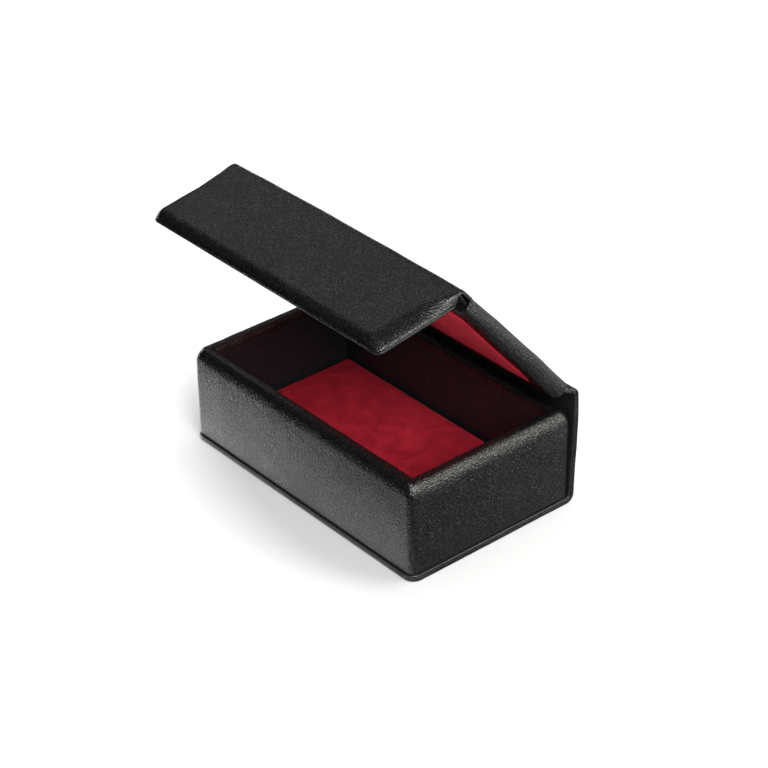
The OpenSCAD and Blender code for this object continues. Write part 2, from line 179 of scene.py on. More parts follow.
def formed(name, material, line, half_width, thick, side, low_side, ends, low_ends=None,
           corner=0.5, crown=0, step=1.2, uneven=0, uneven_size=9, seed=1, bevel=0, left=1):
    """A closed sheet or padded form drawn along the (y, z) line of its outer face, centred in X.

    side and low_side are (across, down): the rounding of its outer and inner long edges. ends
    and low_ends do the same for its two ends. corner rounds it in plan and crown raises its
    middle. bevel, from 0 to 1, turns the rounding of its outer long edges into a flat bevel, and
    left is the part of that rounding that its left edge has. half_width, thick, bevel and the four
    roundings may change along the line.
    """
    line = np.asarray(line, float)
    run = np.concatenate([[0], np.cumsum(np.linalg.norm(np.diff(line, axis=0), axis=1))])
    length = run[-1]
    low_ends = low_ends or ends
    reach = max(ends[0], low_ends[0], corner, NEARBY)
    at = steps(length, min(reach, 0.45 * length), step)
    middle = np.stack([np.interp(at, run, line[:, k]) for k in (0, 1)], 1)
    ahead = np.stack([np.interp(at + NEARBY, run, line[:, k]) for k in (0, 1)], 1)
    behind = np.stack([np.interp(at - NEARBY, run, line[:, k]) for k in (0, 1)], 1)
    tangent = ahead - behind
    tangent /= np.linalg.norm(tangent, axis=1)[:, None]
    outward = np.stack([tangent[:, 1], -tangent[:, 0]], 1)
    to_end = np.minimum(at, length - at)

    def fall(inside, across, depth):
        gone = np.clip(1 - inside / max(across, 1e-6), 0, 1)
        return depth * (1 - np.sqrt(1 - gone ** 2))

    sink = fall(to_end, *ends)
    rise = fall(to_end, *low_ends)
    width = along(half_width, at) - fall(to_end, corner, corner)
    body = along(thick, at) - sink - rise
    across = along(side[0], at)
    deep = np.minimum(along(side[1], at), DEEPEST * body)
    low_across = along(low_side[0], at)
    low_deep = np.minimum(along(low_side[1], at), LOW_DEEPEST * body)
    flatter = along(bevel, at)
    flat = steps(2, 0.06, step / 40) - 1
    bend = np.radians(np.linspace(0, 90, EDGE_STEPS + 1))[1:]
    rows = []
    for i in range(len(at)):
        top_reach = width[i] - across[i]
        left_reach = width[i] - across[i] * left
        low_reach = width[i] - low_across[i]
        bow = crown * (1 - flat ** 2) * (1 - (2 * at[i] / length - 1) ** 4)
        top = [(u * (left_reach if u < 0 else top_reach), -sink[i] + b) for u, b in zip(flat, bow)]
        straight = bend / bend[-1] * flatter[i]
        out = np.sin(bend) * (1 - flatter[i]) + straight
        drop = (1 - np.cos(bend)) * (1 - flatter[i]) + straight
        round_out = [(top_reach + across[i] * o, -sink[i] - deep[i] * d) for o, d in zip(out, drop)]
        bottom = -sink[i] - body[i]
        round_in = [(low_reach + low_across[i] * math.sin(a), bottom + low_deep[i] * (1 - math.cos(a)))
                    for a in bend[::-1]]
        low = [(-u * low_reach, bottom) for u in flat]
        mirrored_in = [(-x, n) for x, n in round_in[::-1]]
        mirrored_out = [(-left_reach - across[i] * left * o, -sink[i] - deep[i] * d)
                        for o, d in zip(out[::-1], drop[::-1])]
        ring = np.array(top + round_out + round_in + low + mirrored_in + mirrored_out)
        place = middle[i] + ring[:, 1:] * outward[i]
        rows.append(np.column_stack([ring[:, 0], place]))
    around = len(rows[0])
    points = np.concatenate(rows)
    if uneven:
        lift = wave(points, uneven_size, seed) * uneven
        push = np.repeat(outward, around, axis=0)
        points[:, 1:] += push * lift[:, None]
    faces = []
    for i in range(len(rows) - 1):
        for j in range(around):
            k = (j + 1) % around
            a = i * around
            faces.append((a + j, a + k, a + around + k, a + around + j))
    faces.append(tuple(range(around)))
    faces.append(tuple((len(rows) - 1) * around + j for j in reversed(range(around))))
    return finished(name, points, faces, material)


def plain_material(name):
    """A new material with its nodes, its links and its surface shader."""
    material = bpy.data.materials.new(name)
    material.use_nodes = True
    tree = material.node_tree
    return material, tree.nodes, tree.links, tree.nodes["Principled BSDF"]


def two_colours(nodes, links, mask, colour, other, target):
    """Goes from one colour to the other with the mask, into the target socket."""
    tint = nodes.new("ShaderNodeMix")
    tint.data_type = "RGBA"
    tint.inputs[6].default_value = (*colour, 1)
    tint.inputs[7].default_value = (*other, 1)
    links.new(mask, tint.inputs["Factor"])
    links.new(tint.outputs[2], target)


def raised(nodes, links, height, distance, strength, target):
    """Raises the surface by the height, up to distance in millimetres, into the target socket."""
    bump = nodes.new("ShaderNodeBump")
    bump.inputs["Strength"].default_value = strength
    bump.inputs["Distance"].default_value = distance * MM
    links.new(height, bump.inputs["Height"])
    links.new(bump.outputs["Normal"], target)


def leather(name, colour, top_colour, roughness, grain, depth, crease=0.0, gloss=0.9):
    """Dyed leather: pebbles grain millimetres wide with dull valleys, uneven polish and creases."""
    material, nodes, links, surface = plain_material(name)
    surface.inputs["IOR"].default_value = 1.6
    place = nodes.new("ShaderNodeAttribute")
    place.attribute_name = "rest_place"

    def cloud(size, detail):
        made = nodes.new("ShaderNodeTexNoise")
        made.inputs["Scale"].default_value = 1 / size
        made.inputs["Detail"].default_value = detail
        links.new(place.outputs["Vector"], made.inputs["Vector"])
        return made

    stray = cloud(1.4, 2)
    bent = nodes.new("ShaderNodeMix")
    bent.data_type = "VECTOR"
    bent.inputs["Factor"].default_value = 0.25
    links.new(place.outputs["Vector"], bent.inputs[4])
    links.new(stray.outputs["Color"], bent.inputs[5])
    pebble = nodes.new("ShaderNodeTexVoronoi")
    pebble.feature = "SMOOTH_F1"
    pebble.inputs["Smoothness"].default_value = 0.4
    pebble.inputs["Scale"].default_value = 1.33 / grain
    links.new(bent.outputs[1], pebble.inputs["Vector"])
    lump = nodes.new("ShaderNodeMapRange")
    lump.inputs["From Min"].default_value = 0.1
    lump.inputs["From Max"].default_value = 0.75
    lump.inputs["To Min"].default_value = 1
    lump.inputs["To Max"].default_value = 0
    links.new(pebble.outputs["Distance"], lump.inputs["Value"])
    fine = cloud(0.75 * grain, 1)
    both = nodes.new("ShaderNodeMath")
    both.operation = "MULTIPLY_ADD"
    both.inputs[1].default_value = 1.3
    links.new(fine.outputs["Fac"], both.inputs[0])
    links.new(lump.outputs["Result"], both.inputs[2])
    height = both
    if crease:
        stretch = nodes.new("ShaderNodeMapping")
        stretch.inputs["Scale"].default_value = (0.4, 0.45, 0.06)
        links.new(place.outputs["Vector"], stretch.inputs["Vector"])
        line = nodes.new("ShaderNodeTexNoise")
        line.inputs["Scale"].default_value = 1.6
        line.inputs["Detail"].default_value = 3
        links.new(stretch.outputs["Vector"], line.inputs["Vector"])
        height = nodes.new("ShaderNodeMath")
        height.operation = "MULTIPLY_ADD"
        height.inputs[1].default_value = crease
        links.new(line.outputs["Fac"], height.inputs[0])
        links.new(both.outputs["Value"], height.inputs[2])
    raised(nodes, links, height.outputs["Value"], depth, 1.0, surface.inputs["Normal"])
    top = nodes.new("ShaderNodeMapRange")
    top.inputs["From Min"].default_value = 0.8
    top.inputs["From Max"].default_value = 1.7
    links.new(both.outputs["Value"], top.inputs["Value"])
    two_colours(nodes, links, top.outputs["Result"], colour, top_colour, surface.inputs["Base Color"])
    shine = nodes.new("ShaderNodeMapRange")
    shine.inputs["To Min"].default_value = VALLEY_SHINE * gloss
    shine.inputs["To Max"].default_value = TOP_SHINE * gloss
    links.new(top.outputs["Result"], shine.inputs["Value"])
    links.new(shine.outputs["Result"], surface.inputs["Specular IOR Level"])
    wear = cloud(WEAR_SIZE, 3)
    polish = nodes.new("ShaderNodeMath")
    polish.operation = "MULTIPLY_ADD"
    polish.inputs[1].default_value = WEAR
    links.new(wear.outputs["Fac"], polish.inputs[0])
    dull = nodes.new("ShaderNodeMapRange")
    dull.inputs["To Min"].default_value = roughness
    dull.inputs["To Max"].default_value = roughness - TOP_POLISH
    links.new(top.outputs["Result"], dull.inputs["Value"])
    links.new(dull.outputs["Result"], polish.inputs[2])
    links.new(polish.outputs["Value"], surface.inputs["Roughness"])
    return material


BLACK_DYE = (0.002, 0.002, 0.002)
BLACK_TOP = (0.013, 0.013, 0.0135)
black_leather = leather("black_leather", BLACK_DYE, BLACK_TOP, 0.25, GRAIN, 0.085)

strip_low, strip_high = node_box("cover_leather")
STRIP_CORNER = 4
STRIP_RUN = 120
NARROWS_AT = 98
FRONT_LIP = 0.25
LID_END_IN = 0.6
BEND = 3
CREST = 3
SPINE_FOOT = -0.85
SPINE_TOP = 0.7
bend_centre = (strip_high[1] + SPINE_FOOT - BEND, BEND)
crest_centre = (HINGE[0] + 0.15, HINGE[1] + 0.15)


def over_hinge(inset):
    """(y, z) line of the cover from its front edge, up the spine and over the hinge, at a depth of inset."""
    spine = [(strip_high[1] + SPINE_FOOT + lean * (SPINE_TOP - SPINE_FOOT) - inset, z)
             for lean, z in ((0.3, 14), (0.75, 26), (0.97, HINGE[1] - 3.2), (1, HINGE[1] - 1.4))]
    crest = arc(crest_centre, CREST - inset, 8, 90 - LID_OPEN + 10, 8)
    tuck = turned([(-1.2, 2.75 - inset), (-2.4, 2.3 - inset), (-3.4, 1.5 - inset), (-5.2, 0.9 - inset)],
                  HINGE, -LID_OPEN)
    return np.concatenate([[(strip_low[1], inset)], arc(bend_centre, BEND - inset, -90, 0),
                           eased(np.concatenate([spine, crest, tuck]))])


cover = formed(
    "cover_leather_outer", black_leather, over_hinge(0),
    half_width=[(0, strip_high[0] + FRONT_LIP), (NARROWS_AT, strip_high[0]),
                (NARROWS_AT + 9.5, strip_high[0] - LID_END_IN), (STRIP_RUN, strip_high[0] - LID_END_IN)],
    thick=[(0, TURNED_EDGE), (NARROWS_AT + 2, TURNED_EDGE), (NARROWS_AT + 7, LEATHER), (STRIP_RUN, LEATHER)],
    side=(0.5, 0.5), low_side=(0.15, 0.1), ends=(0.5, 0.5), low_ends=(0.15, 0.1),
    corner=STRIP_CORNER, step=0.8, uneven=EDGE_WAVE, uneven_size=7)
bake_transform(cover)
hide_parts("cover_leather", "lid_hinge_leather")


# Inner leather of the cover: a smoother, thinner leather glued to the outer one over two stiff
# boards. Its cut edge is painted, and shows as a thin lighter line round the foot of the box.
INNER_THICK = 1.22
INNER_THIN = 0.8
INNER_IN = 0.1
INNER_LID_END_IN = 0.8
smooth_leather = leather("smooth_leather", (0.010, 0.010, 0.0105), (0.018, 0.018, 0.019), 0.28, GRAIN, 0.03)
cover_lining = formed(
    "cover_leather_inner", smooth_leather, over_hinge(LEATHER + GLUE),
    half_width=[(0, strip_high[0] - INNER_IN), (NARROWS_AT, strip_high[0] - INNER_IN),
                (NARROWS_AT + 9, strip_high[0] - INNER_LID_END_IN),
                (STRIP_RUN, strip_high[0] - INNER_LID_END_IN)],
    thick=[(0, INNER_THICK), (NARROWS_AT + 1, INNER_THICK),
           (NARROWS_AT + 6, INNER_THIN), (STRIP_RUN, INNER_THIN)],
    side=(0.2, 0.2), low_side=(0.4, 0.35), ends=(0.2, 0.2), low_ends=(0.4, 0.35),
    corner=STRIP_CORNER - INNER_IN, step=0.8, uneven=EDGE_WAVE, uneven_size=5, seed=2)
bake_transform(cover_lining)
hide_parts("cover_lining", "lid_hinge_lining")


# Leather of the tray: the same pebbled cowhide, wrapped round the four wall boards, over their
# rounded tops and a little way down inside, where its cut edge runs a little wavy.
tray_leather_skin = leather("tray_leather", BLACK_DYE, BLACK_TOP, 0.25, GRAIN, 0.1, crease=0.7)
tray_low, tray_high = node_box("tray_leather")
WALL = 5.4
TURN_IN = 2.8
RIM_OUT = 2.6
RIM_DROP = 5.2
RIM_IN = 1.5
RIM_IN_DROP = 2.4
TRAY_CORNER = 2.5
FOOT_TUCK = 0.5
SKIN = 0.85
PLEAT = 0.14
PLEAT_RIDGE = 0.08
RIM_WAVE = 0.1
RAGGED = 0.3
PUFF = 0.12
NEAR_CORNER = 7
half = tray_high[:2]


def rim_section():
    """(distance in, height) round the section of the tray's leather: out and over, then back inside."""
    out = [(FOOT_TUCK * (1 - math.sin(a)), tray_low[2] + FOOT_TUCK * (1 - math.cos(a)))
           for a in np.radians(np.linspace(0, 90, 5))]
    out += [(0, z) for z in np.linspace(tray_low[2] + 1.2, tray_high[2] - RIM_DROP - 0.6, 24)]
    out += [(RIM_OUT * (1 - math.cos(a)), tray_high[2] - RIM_DROP * (1 - math.sin(a)))
            for a in np.radians(np.linspace(0, 90, 21)[:-1])]
    out += [(WALL - RIM_IN * (1 - math.sin(a)), tray_high[2] - RIM_IN_DROP * (1 - math.cos(a)))
            for a in np.radians(np.linspace(0, 90, 14))]
    turned_end = tray_high[2] - TURN_IN
    out += [(WALL, z) for z in np.linspace(tray_high[2] - RIM_IN_DROP, turned_end + 0.2, 5)[1:]]
    out += [(WALL - 0.2, turned_end), (WALL - 0.7, turned_end)]
    out += [(WALL - LEATHER, tray_high[2] - 2.1), (WALL - 1.9, tray_high[2] - 1.1)]
    out += [(RIM_OUT, tray_high[2] - SKIN)]
    out += [(1.5, tray_high[2] - 2.4), (SKIN, tray_high[2] - RIM_DROP), (SKIN, tray_low[2] + 0.3)]
    return np.array(out)


def rim_places(size):
    """Places along one side of the tray, close together at its corners."""
    near = np.linspace(0, NEAR_CORNER, 19)
    between = 2 * size - 2 * NEAR_CORNER
    far = np.linspace(NEAR_CORNER, NEAR_CORNER + between, round(between / 1.3) + 1)[1:-1]
    return np.concatenate([near, far, (2 * size - near)[::-1]]) - size


xs = rim_places(half[0])
ys = rim_places(half[1])
loop = np.array(
    [(x, -half[1]) for x in xs[:-1]] + [(half[0], y) for y in ys[:-1]]
    + [(x, half[1]) for x in xs[:0:-1]] + [(-half[0], y) for y in ys[:0:-1]])
section = rim_section()
rings = []
for deep, height in section:
    size = half - deep
    ring = loop * size / half
    radius = TRAY_CORNER - 0.35 * deep + 0.6 * math.sin(math.pi * min(deep / RIM_OUT, 1))
    straight = np.clip(ring, radius - size, size - radius)
    out = ring - straight
    far = np.linalg.norm(out, axis=1)[:, None]
    ring = np.where(far > 1e-9, straight + out / np.maximum(far, 1e-9) * radius, ring)
    rings.append(np.column_stack([ring, np.full(len(ring), height)]))
tray_points = np.concatenate(rings)
around = len(loop)
# The leather is pinched into a pleat along each mitre of the rim, and its turned-in edge waves.
from_sides = half - np.abs(tray_points[:, :2])
to_mitre = np.abs(from_sides[:, 0] - from_sides[:, 1]) / math.sqrt(2)
on_rim = np.clip((tray_points[:, 2] - (tray_high[2] - 1.6)) / 1.2, 0, 1)
tray_points[:, 2] -= PLEAT * on_rim * np.exp(-(to_mitre / 0.5) ** 2)
tray_points[:, 2] += PLEAT_RIDGE * on_rim * np.exp(-((to_mitre - 1.3) / 0.7) ** 2)
tray_points[:, 2] += RIM_WAVE * on_rim * wave(tray_points, 6, 3)
inset = np.repeat(section[:, 0], around)
turned_in = (inset > WALL - LEATHER) & (tray_points[:, 2] < tray_high[2] - TURN_IN + LEATHER)
tray_points[:, 2] += np.where(turned_in, RAGGED * wave(tray_points, 4, 4), 0)
from_foot = tray_points[:, 2] - tray_low[2]
from_top = tray_high[2] - tray_points[:, 2]
middle = np.clip(from_foot / 6, 0, 1) * np.clip(from_top / 8, 0, 1)
puff = PUFF * middle * (1 + wave(tray_points, 14, 5)) - PUFF / 2
outer = inset < 0.3
facing = np.where(np.abs(tray_points[:, :2]) > half - 0.4, np.sign(tray_points[:, :2]), 0)
tray_points[:, :2] += np.where(outer[:, None], facing * (puff * middle)[:, None], 0)
tray_faces = []
for i in range(len(section)):
    for j in range(around):
        k = (j + 1) % around
        a = i * around
        b = (i + 1) % len(section) * around
        tray_faces.append((a + j, a + k, b + k, b + j))
tray = finished("tray_leather_wrap", tray_points, tray_faces, tray_leather_skin)
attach(tray, "box")
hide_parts("tray_leather")


# Wall linings: four strips of smooth, slightly shiny leather glued to the inside of the walls,
# butted in the corners. The rim's leather ends just above them.
satin_leather = leather("satin_leather", (0.008, 0.011, 0.013), (0.012, 0.015, 0.017), 0.36, 0.5, 0.012,
                        gloss=0.4)
LINING = 0.5
LINING_BACK = 0.22
TUCKED_UP = 0.35
CORNER_OVERLAP = 0.3
for side, wall in enumerate(("front", "right", "back", "left")):
    low, high = node_box(wall + "_lining")
    long_side = side % 2 == 0
    reach = (half[1] if long_side else half[0]) - WALL + LINING_BACK
    half_length = (half[0] + CORNER_OVERLAP if long_side else half[1]) - WALL
    lining = formed(
        wall + "_wall_lining", satin_leather, [(-reach, low[2]), (-reach, high[2] + TUCKED_UP)],
        half_width=half_length, thick=LINING, side=(0.1, 0.1), low_side=(0.3, 0.2), ends=(0.1, 0.1),
        low_ends=(0.3, 0.15), corner=0.1, step=2, uneven=0.06, uneven_size=12, seed=6 + side)
    lining.data.transform(Matrix.Rotation(math.radians(90 * side), 4, "Z"))
    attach(lining, "box")
    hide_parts(wall + "_lining")


# Pad: red suede pulled over foam and a card, and pushed into the tray. Its nap is short and
# brushed unevenly, so the red shifts a little from place to place.
NAP_DEPTH = 0.12
PAD_ROUND = (1.5, 1.2)
PAD_FOOT = (0.3, 0.3)


def suede(name, dark, light, nap):
    """Brushed suede: a soft, matt red with lighter and darker strokes and a fine fuzzy nap."""
    material, nodes, links, surface = plain_material(name)
    surface.inputs["Roughness"].default_value = 0.95
    surface.inputs["Specular IOR Level"].default_value = 0.1
    surface.inputs["Sheen Weight"].default_value = 0.06
    surface.inputs["Sheen Roughness"].default_value = 0.5
    surface.inputs["Sheen Tint"].default_value = (1.0, 0.25, 0.3, 1)
    place = nodes.new("ShaderNodeAttribute")
    place.attribute_name = "rest_place"
    strokes = nodes.new("ShaderNodeTexNoise")
    strokes.inputs["Scale"].default_value = 0.11
    strokes.inputs["Detail"].default_value = 5
    strokes.inputs["Distortion"].default_value = 1.2
    links.new(place.outputs["Vector"], strokes.inputs["Vector"])
    fuzz = nodes.new("ShaderNodeTexNoise")
    fuzz.inputs["Scale"].default_value = nap
    fuzz.inputs["Detail"].default_value = 4
    links.new(place.outputs["Vector"], fuzz.inputs["Vector"])
    both = nodes.new("ShaderNodeMath")
    both.operation = "MULTIPLY_ADD"
    both.inputs[1].default_value = 0.5
    links.new(fuzz.outputs["Fac"], both.inputs[0])
    links.new(strokes.outputs["Fac"], both.inputs[2])
    spread = nodes.new("ShaderNodeMapRange")
    spread.inputs["From Min"].default_value = 0.5
    spread.inputs["From Max"].default_value = 1.0
    links.new(both.outputs["Value"], spread.inputs["Value"])
    two_colours(nodes, links, spread.outputs["Result"], dark, light, surface.inputs["Base Color"])
    raised(nodes, links, both.outputs["Value"], NAP_DEPTH, 0.5, surface.inputs["Normal"])
    return material


red_suede = suede("red_suede", (0.29, 0.008, 0.019), (0.54, 0.021, 0.042), 2.2)
pad_low, pad_high = node_box("pad_suede")
pad = formed(
    "pad", red_suede, [(pad_high[1], pad_high[2]), (pad_low[1], pad_high[2])],
    half_width=pad_high[0], thick=pad_high[2] - pad_low[2], side=PAD_ROUND, low_side=PAD_FOOT,
    ends=PAD_ROUND, low_ends=PAD_FOOT, corner=1.2, crown=0.3, step=1.5,
    uneven=0.08, uneven_size=11, seed=11)
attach(pad, "box")
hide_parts("pad_suede", "pad_foam")


# Lid, fold and flap: a second sheet of the pebbled leather runs over the lid's foam and board,
# rolls round its edges, folds down thin in front of it and goes on over the foam of the flap.
flap_joint = next(j for j in frame["joints"] if j["name"] == "flap_fold")
FOLD = (flap_joint["pos_m"][1] / MM, flap_joint["pos_m"][2] / MM)
FOLD_ANGLE = flap_joint["range_deg"][1]
FLAP_TURN = FOLD_ANGLE - LID_OPEN
LID_TOP = 1.8
LID_THICK = 5.9
LID_ROUND = 2.9
FULLEST = 0.85
LID_START = 3.2
FOLD_R = 2.6
LID_END = 67.8
FOLD_RUN = 71.75
FLAP_START = 1.5
FLAP_LENGTH = 32.7
FLAP_THICK = 3.5
FOLD_THICK = 1.25
lid_half = node_box("lid_leather")[1][0]
lid_bulge = [(0, 0.2), (3, 0.7), (18, FULLEST), (46, 0.6), (62, 0.1), (FOLD_RUN - LID_START, 0)]
lid_side = turned([(-LID_START - run, LID_TOP + lift) for run, lift in lid_bulge], HINGE, -LID_OPEN)
fold_arc = arc(FOLD, FOLD_R, 90 - LID_OPEN, 90 + FLAP_TURN, 10)[1:-1]
flap_side = turned([(0, FOLD_R), (-FLAP_LENGTH, FOLD_R)], FOLD, FLAP_TURN)
flap_line = np.concatenate([lid_side, fold_arc, flap_side])
block = LID_END - LID_START
fold_at = FOLD_RUN - LID_START
flap_at = fold_at + FOLD_R * math.radians(FOLD_ANGLE)
roll_end = [(block - LID_ROUND * (1 - math.sin(a)), FOLD_THICK + (LID_THICK - FOLD_THICK) * math.cos(a))
            for a in np.radians(np.linspace(0, 90, 9))]
flap_back = flap_at + FLAP_START
BACK_ROUND = 5
BACK_THIN = 1.9
back_end = [(BACK_ROUND * (1 - math.cos(a)), BACK_THIN + (LID_THICK + 0.75 - BACK_THIN) * math.sin(a))
            for a in np.radians(np.linspace(0, 90, 9))]
thick_run = back_end + [(18, LID_THICK + FULLEST), (46, LID_THICK + 0.6)] + roll_end + [
    (flap_back - 0.2, FOLD_THICK), (flap_back + 0.4, FLAP_THICK)]
# How far the long edges are rounded: wide on the lid, hardly in the thin fold, widest on the flap.
far_end = 200
lid_rounding = [(6, LID_ROUND), (block - LID_ROUND, LID_ROUND)]
across_run = [(0, 1.5), (6, 2.7), (block - LID_ROUND, 2.7), (block, 0.6),
              (flap_back, 0.9), (flap_back + 3, 2.5), (flap_back + 14, 6.0), (far_end, 6.5)]
down_run = [(0, 1.2)] + lid_rounding + [
    (block, 0.6), (flap_back, 0.9), (flap_back + 3, 2.2), (flap_back + 10, 2.7), (far_end, 2.7)]
low_run = [(0, 0.7)] + lid_rounding + [(block, 0.3), (far_end, 0.3)]
lid_and_flap = formed(
    "lid_and_flap_cover", black_leather, flap_line,
    half_width=[(0, lid_half), (block - 4, lid_half), (block + 1, lid_half - 0.5),
                (flap_back + 1, lid_half - 0.2), (flap_back + 6, lid_half), (far_end, lid_half)],
    thick=thick_run, side=(across_run, down_run), low_side=(low_run, low_run),
    ends=(3.6, 3.2), low_ends=(0.2, 0.15), corner=2.9, crown=0.35, step=0.7,
    uneven=0.09, uneven_size=12, seed=12,
    bevel=[(0, 0), (flap_back, 0), (flap_back + 6, 0.7), (far_end, 0.7)], left=0.45)
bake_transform(lid_and_flap)
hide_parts("lid_leather", "lid_foam", "flap_hinge_leather", "flap_leather", "flap_foam")


# Red lining of the lid: the same suede over a card, glued inside the black frame that the
# turned-in leather makes. It stands a little proud of the frame.
WINDOW = 98.6
WINDOW_FRONT = 61.35
WINDOW_BACK = 13.4
RED_FACE = 4.35
lid_red_line = turned([(-WINDOW_FRONT, -RED_FACE), (-WINDOW_BACK, -RED_FACE)], HINGE, -LID_OPEN)
lid_lining = formed(
    "lid_red_lining", red_suede, lid_red_line,
    half_width=WINDOW / 2, thick=1.1, side=(0.7, 0.5), low_side=(0.2, 0.2),
    ends=(0.7, 0.5), low_ends=(0.2, 0.2), corner=3, crown=0.15, step=1.5,
    uneven=0.06, uneven_size=11, seed=13)
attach(lid_lining, "lid")
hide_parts("lid_lining_suede")


# Inner leather of the fold: a thin strip of the smooth leather, glued over the inside of the
# fold, from the lid's front to the back of the flap. It follows the curve of the fold.
fold_in = FOLD_R - FOLD_THICK - 0.1
fold_lining_line = np.concatenate([
    turned([(5.4, fold_in - 1.1), (1.2, fold_in - 0.3)], FOLD, -LID_OPEN),
    arc(FOLD, fold_in - 0.2, 90 - LID_OPEN + 6, 90 + FLAP_TURN - 6, 6),
    turned([(-1.2, fold_in - 0.5), (-3.0, fold_in - 1.9)], FOLD, FLAP_TURN)])
fold_lining = formed(
    "fold_inner_leather", satin_leather, eased(fold_lining_line),
    half_width=lid_half - 1.2, thick=0.7, side=(0.3, 0.3), low_side=(0.3, 0.3), ends=(0.3, 0.3),
    corner=0.5, step=0.5, uneven=0.04, uneven_size=6, seed=14)
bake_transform(fold_lining)
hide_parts("flap_hinge_lining")


# Inner leather of the flap: a flat, smooth sheet glued under the padding. Its painted edge shows
# as a fine light line along the flap's front.
FLAP_UNDER = 0.92
flap_low_line = turned([(-FLAP_START, -FLAP_UNDER), (-FLAP_LENGTH, -FLAP_UNDER)], FOLD, FLAP_TURN)
flap_lining = formed(
    "flap_inner_leather", smooth_leather, flap_low_line,
    half_width=lid_half - 0.1, thick=LEATHER, side=(0.2, 0.2), low_side=(0.5, 0.5),
    ends=(0.2, 0.2), low_ends=(0.5, 0.5),
    corner=2.2, step=1.2, uneven=0.05, uneven_size=8, seed=15)
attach(flap_lining, "flap")
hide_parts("flap_lining")


# Panel inside the flap: a thin padded panel in smooth leather, which meets the tray's front when
# the box is shut.
PANEL_IN = 4
PANEL_FACE = 3.15
panel_line = turned([(-FLAP_LENGTH + PANEL_IN, -PANEL_FACE), (-FLAP_START - PANEL_IN, -PANEL_FACE)],
                    FOLD, FLAP_TURN)
flap_panel = formed(
    "flap_inner_pad", satin_leather, panel_line,
    half_width=lid_half - PANEL_IN, thick=1.25, side=(1.0, 0.8), low_side=(0.1, 0.1), ends=(1.0, 0.8),
    low_ends=(0.1, 0.1), corner=2, crown=0.15, step=1.5, uneven=0.05, uneven_size=9, seed=16)
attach(flap_panel, "flap")
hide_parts("flap_inner_panel")


# Stiffeners: fibreboard in the walls and lid, a near-black board in the floor, grey card in the spine,
# pad and flap, and small plated magnets. They are glued in between the leathers and don't show.
def stiffener(name, colour, other, roughness, metal, size):
    """Plain material of a hidden stiffener, with specks about size millimetres wide."""
    material, nodes, links, surface = plain_material(name)
    surface.inputs["Roughness"].default_value = roughness
    surface.inputs["Metallic"].default_value = metal
    place = nodes.new("ShaderNodeTexCoord")
    speck = nodes.new("ShaderNodeTexNoise")
    speck.inputs["Scale"].default_value = 1 / (size * MM)
    speck.inputs["Detail"].default_value = 5
    links.new(place.outputs["Object"], speck.inputs["Vector"])
    two_colours(nodes, links, speck.outputs["Fac"], colour, other, surface.inputs["Base Color"])
    raised(nodes, links, speck.outputs["Fac"], 0.05, 1.0, surface.inputs["Normal"])
    return material


fibreboard = stiffener("fibreboard", (0.42, 0.31, 0.2), (0.5, 0.4, 0.28), 0.8, 0, 1.2)
dark_board = stiffener("dark_board", (0.012, 0.011, 0.012), (0.02, 0.018, 0.019), 0.7, 0, 1.2)
grey_card = stiffener("grey_card", (0.4, 0.38, 0.34), (0.52, 0.5, 0.46), 0.85, 0, 0.8)
plated_steel = stiffener("plated_steel", (0.6, 0.6, 0.62), (0.68, 0.68, 0.7), 0.3, 1, 2)
BOARD_GAP = 0.05
WALL_BOARD = 3.2
LID_BOARD = 2.5
SPINE_CARD = 0.6
for side, wall in enumerate(("front", "right", "back", "left")):
    low, high = node_box(wall + "_wall")
    long_side = side % 2 == 0
    out = (half[1] if long_side else half[0]) - LEATHER - BOARD_GAP
    half_length = (half[0] if long_side else half[1]) - WALL
    board = formed(
        wall + "_wall_board", fibreboard, [(-out, high[2] - 0.3), (-out, low[2])],
        half_width=half_length, thick=WALL_BOARD, side=(0.3, 0.3), low_side=(0.3, 0.3),
        ends=(2.3, 1.6), low_ends=(1.2, 1), corner=0.3, step=3)
    board.data.transform(Matrix.Rotation(math.radians(90 * side), 4, "Z"))
    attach(board, "box")
    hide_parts(wall + "_wall")
SPINE_FROM = 5
spine_top = HINGE[1] - 3
spine_line = [(y - 1.0, z) for y, z in over_hinge(0) if SPINE_FROM < z < spine_top and y > half[1]]
spine_stiff = formed(
    "spine_stiff_board", grey_card, spine_line,
    half_width=strip_high[0] - 2.5, thick=SPINE_CARD, side=(0.1, 0.1), low_side=(0.1, 0.1),
    ends=(0.1, 0.1), corner=1, step=3)
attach(spine_stiff, "box")
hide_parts("spine_board")
lid_core = formed(
    "lid_stiff_board", fibreboard, turned([(-8.4, -0.6), (-LID_END + 1.2, -0.6)], HINGE, -LID_OPEN),
    half_width=lid_half - 1.2, thick=LID_BOARD, side=(0.5, 0.5), low_side=(1.2, 1.2),
    ends=(0.5, 0.5), low_ends=(1.2, 1.2), corner=2, step=2)
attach(lid_core, "lid")
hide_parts("lid_board")
for name, node in frame["nodes"].items():
    if name == "floor_board":
        chosen = dark_board
    elif name.endswith("magnets"):
        chosen = plated_steel
    elif name.endswith("board") or name.endswith("card"):
        chosen = grey_card
    else:
        continue
    node.data.materials.clear()
    node.data.materials.append(chosen)


# Table and light: the box stands on a matt white table in a white room, under five soft lamps.
# Round the box the table shows its shadow; further off a painted glow, seen only by the camera,
# makes it plain white and fades that shadow out sooner. What the glossy leather mirrors of the table
# is a painted glow graded by place, not the lit table: bright close to the box and dim further off.
TABLE_SIZE = 6
TABLE_WHITE = (0.75, 0.75, 0.75, 1)
